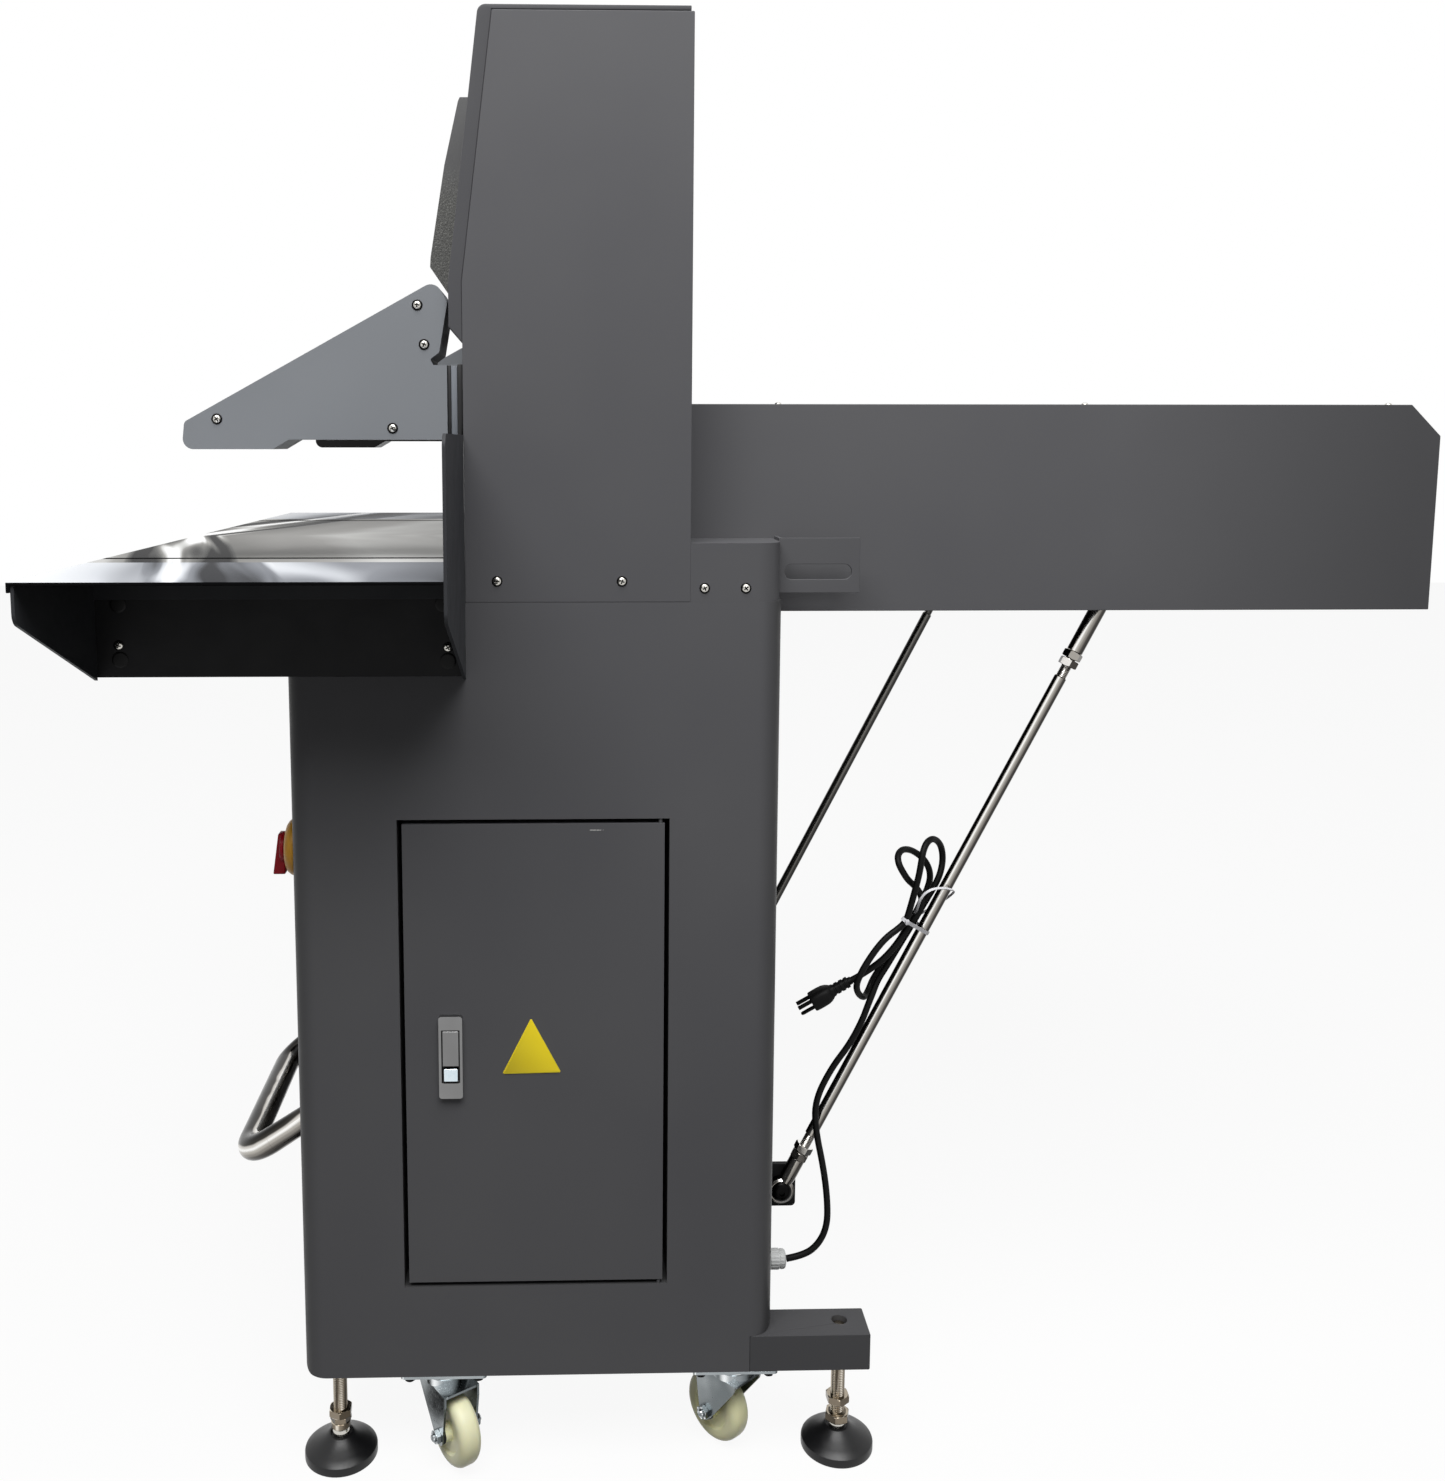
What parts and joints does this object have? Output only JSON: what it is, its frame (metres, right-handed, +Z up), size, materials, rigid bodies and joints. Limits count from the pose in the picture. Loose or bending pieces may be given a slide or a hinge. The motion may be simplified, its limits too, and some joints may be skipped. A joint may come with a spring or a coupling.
{
  "type": "hydraulic paper cutter",
  "caption": "Floor-standing hydraulic paper cutter with side tables, guard arms, a covered rear table on tie rods, levelling feet, casters and a hinged electrical door.",
  "frame": {"origin": "on the floor under the middle of the bounding box, the mains cord and its plug left out", "axes": "+Z up, -Y towards the operator, +X to the operator's right, the side with the electrical door"},
  "size_m": [1.194, 1.371, 1.484],
  "materials": {
    "graphite_paint": "satin powder coat, dark graphite grey",
    "black_paint": "satin black paint",
    "silver_paint": "satin silver-grey paint",
    "polished_steel": "polished steel table surface",
    "machined_steel": "machined steel",
    "zinc": "bright zinc plate",
    "nickel": "plated steel",
    "cream_nylon": "cream nylon",
    "dark_plastic": "moulded dark grey plastic, pebbled",
    "yellow_plastic": "yellow plastic",
    "red_plastic": "red plastic",
    "lock_metal": "satin nickel",
    "grey_plastic": "light grey nylon",
    "black_rubber": "black cord rubber"
  },
  "bodies": {
    "machine": {"cabinet": "graphite_paint", "outrigger_right": "graphite_paint", "foot_front_right": "nickel", "caster_plate_front_right": "zinc", "foot_rear_right": "nickel", "caster_plate_rear_right": "zinc", "wing_table_right": "polished_steel", "wing_bracket_right": "graphite_paint", "head_column_right": "graphite_paint", "guard_arm_right": "silver_paint", "rear_block_right": "graphite_paint", "slotted_plate_right": "graphite_paint", "rear_side_right": "graphite_paint", "tie_rod_right": "nickel", "rod_bracket_right": "black_paint", "outrigger_left": "graphite_paint", "foot_front_left": "nickel", "caster_plate_front_left": "zinc", "foot_rear_left": "nickel", "caster_plate_rear_left": "zinc", "wing_table_left": "polished_steel", "wing_bracket_left": "graphite_paint", "head_column_left": "graphite_paint", "guard_arm_left": "silver_paint", "rear_block_left": "graphite_paint", "slotted_plate_left": "graphite_paint", "rear_side_left": "graphite_paint", "tie_rod_left": "nickel", "rod_bracket_left": "black_paint", "table_frame": "black_paint", "main_table": "polished_steel", "head_housing": "graphite_paint", "head_cover": "graphite_paint", "control_panel": "dark_plastic", "clamp_beam": "graphite_paint", "knife_carrier": "machined_steel", "knife": "machined_steel", "rear_table": "machined_steel", "rear_cover": "graphite_paint", "back_gauge": "machined_steel", "switch_base": "yellow_plastic", "cord_gland": "grey_plastic", "mains_cord": "black_rubber", "cord_hank": "black_rubber", "cord_plug": "black_rubber"},
    "door": {"door": "graphite_paint", "lock_body": "lock_metal"},
    "lock_handle": {"lock_handle": "lock_metal"},
    "switch_handle": {"switch_handle": "red_plastic"},
    "foot_bar": {"foot_bar": "zinc"},
    "caster_front_right": {"caster_fork_front_right": "zinc"},
    "wheel_front_right": {"caster_wheel_front_right": "cream_nylon"},
    "caster_front_left": {"caster_fork_front_left": "zinc"},
    "wheel_front_left": {"caster_wheel_front_left": "cream_nylon"},
    "caster_rear_right": {"caster_fork_rear_right": "zinc"},
    "wheel_rear_right": {"caster_wheel_rear_right": "cream_nylon"},
    "caster_rear_left": {"caster_fork_rear_left": "zinc"},
    "wheel_rear_left": {"caster_wheel_rear_left": "cream_nylon"}
  },
  "joints": [
    {"name": "caster_front_right_swivel", "type": "hinge", "parent": "machine", "child": "caster_front_right", "pos_m": [0.373, -0.3515, 0.095], "axis": [0, 0, 1], "continuous": true},
    {"name": "caster_front_right_roll", "type": "hinge", "parent": "caster_front_right", "child": "wheel_front_right", "pos_m": [0.39, -0.34004, 0.0395], "axis": [-0.5592, 0.829, 0], "continuous": true},
    {"name": "caster_front_left_swivel", "type": "hinge", "parent": "machine", "child": "caster_front_left", "pos_m": [-0.373, -0.3515, 0.095], "axis": [0, 0, 1], "continuous": true},
    {"name": "caster_front_left_roll", "type": "hinge", "parent": "caster_front_left", "child": "wheel_front_left", "pos_m": [-0.39, -0.34004, 0.0395], "axis": [-0.5592, -0.829, 0], "continuous": true},
    {"name": "caster_rear_right_swivel", "type": "hinge", "parent": "machine", "child": "caster_rear_right", "pos_m": [0.373, -0.0445, 0.095], "axis": [0, 0, 1], "continuous": true},
    {"name": "caster_rear_right_roll", "type": "hinge", "parent": "caster_rear_right", "child": "wheel_rear_right", "pos_m": [0.3573, -0.05768, 0.0395], "axis": [0.6428, -0.766, 0], "continuous": true},
    {"name": "caster_rear_left_swivel", "type": "hinge", "parent": "machine", "child": "caster_rear_left", "pos_m": [-0.373, -0.0445, 0.095], "axis": [0, 0, 1], "continuous": true},
    {"name": "caster_rear_left_roll", "type": "hinge", "parent": "caster_rear_left", "child": "wheel_rear_left", "pos_m": [-0.3573, -0.05768, 0.0395], "axis": [0.6428, 0.766, 0], "continuous": true},
    {"name": "door_swing", "type": "hinge", "parent": "machine", "child": "door", "pos_m": [0.397, -0.1265, 0.455], "axis": [0, 0, 1], "range_deg": [0, 110]},
    {"name": "lock_handle_lift", "type": "hinge", "parent": "door", "child": "lock_handle", "pos_m": [0.40375, -0.3392, 0.48395], "axis": [0, -1, 0], "range_deg": [0, 60]},
    {"name": "main_switch_turn", "type": "hinge", "parent": "machine", "child": "switch_handle", "pos_m": [0.342, -0.5115, 0.661], "axis": [0, -1, 0], "range_deg": [0, 90]},
    {"name": "foot_bar_press", "type": "hinge", "parent": "machine", "child": "foot_bar", "pos_m": [0.106, -0.4235, 0.377], "axis": [1, 0, 0], "range_deg": [0, 8], "stiffness_Nm_per_rad": 40, "springref_deg": -17.19}
  ]
}
